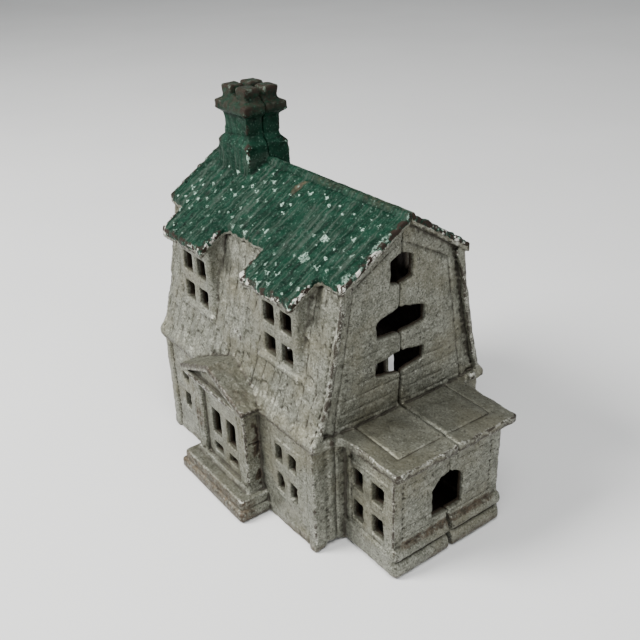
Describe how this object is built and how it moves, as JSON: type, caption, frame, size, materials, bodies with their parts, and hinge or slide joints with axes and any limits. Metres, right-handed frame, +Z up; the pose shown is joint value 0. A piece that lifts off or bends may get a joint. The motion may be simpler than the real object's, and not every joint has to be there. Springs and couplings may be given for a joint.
{
  "type": "still bank",
  "caption": "Hollow cast iron coin bank shaped as a gambrel-roofed house with a side porch, in two half castings held by one screw.",
  "frame": {"origin": "under the middle of the bank's box, on the plane it stands on", "axes": "+X along the ridge towards the side porch, +Y from the front door to the rear casting, +Z up"},
  "size_m": [0.0966, 0.064, 0.1016],
  "materials": {
    "front_paint": "aged aluminium paint on sand-cast iron, with a dark green upper roof and chimney",
    "rear_paint": "aged aluminium paint on sand-cast iron, with a dark green upper roof and chimney",
    "screw_steel": "old steel, darkened and lightly rusted"
  },
  "bodies": {
    "front_half": {"front_casting": "front_paint"},
    "rear_half": {"rear_casting": "rear_paint"},
    "screw": {"screw": "screw_steel"}
  },
  "joints": [
    {"name": "rear_draw", "type": "slide", "parent": "front_half", "child": "rear_half", "axis": [0, 1, 0], "range_m": [0, 0.0095]},
    {"name": "screw_turn", "type": "hinge", "parent": "rear_half", "child": "screw", "pos_m": [-0.00895, 0.0246, 0.042], "axis": [0, 1, 0], "range_deg": [0, 3240]}
  ],
  "couplings": [
    {"joint": "screw_turn", "follows": "rear_draw", "rad_per_m": 5936.9}
  ]
}
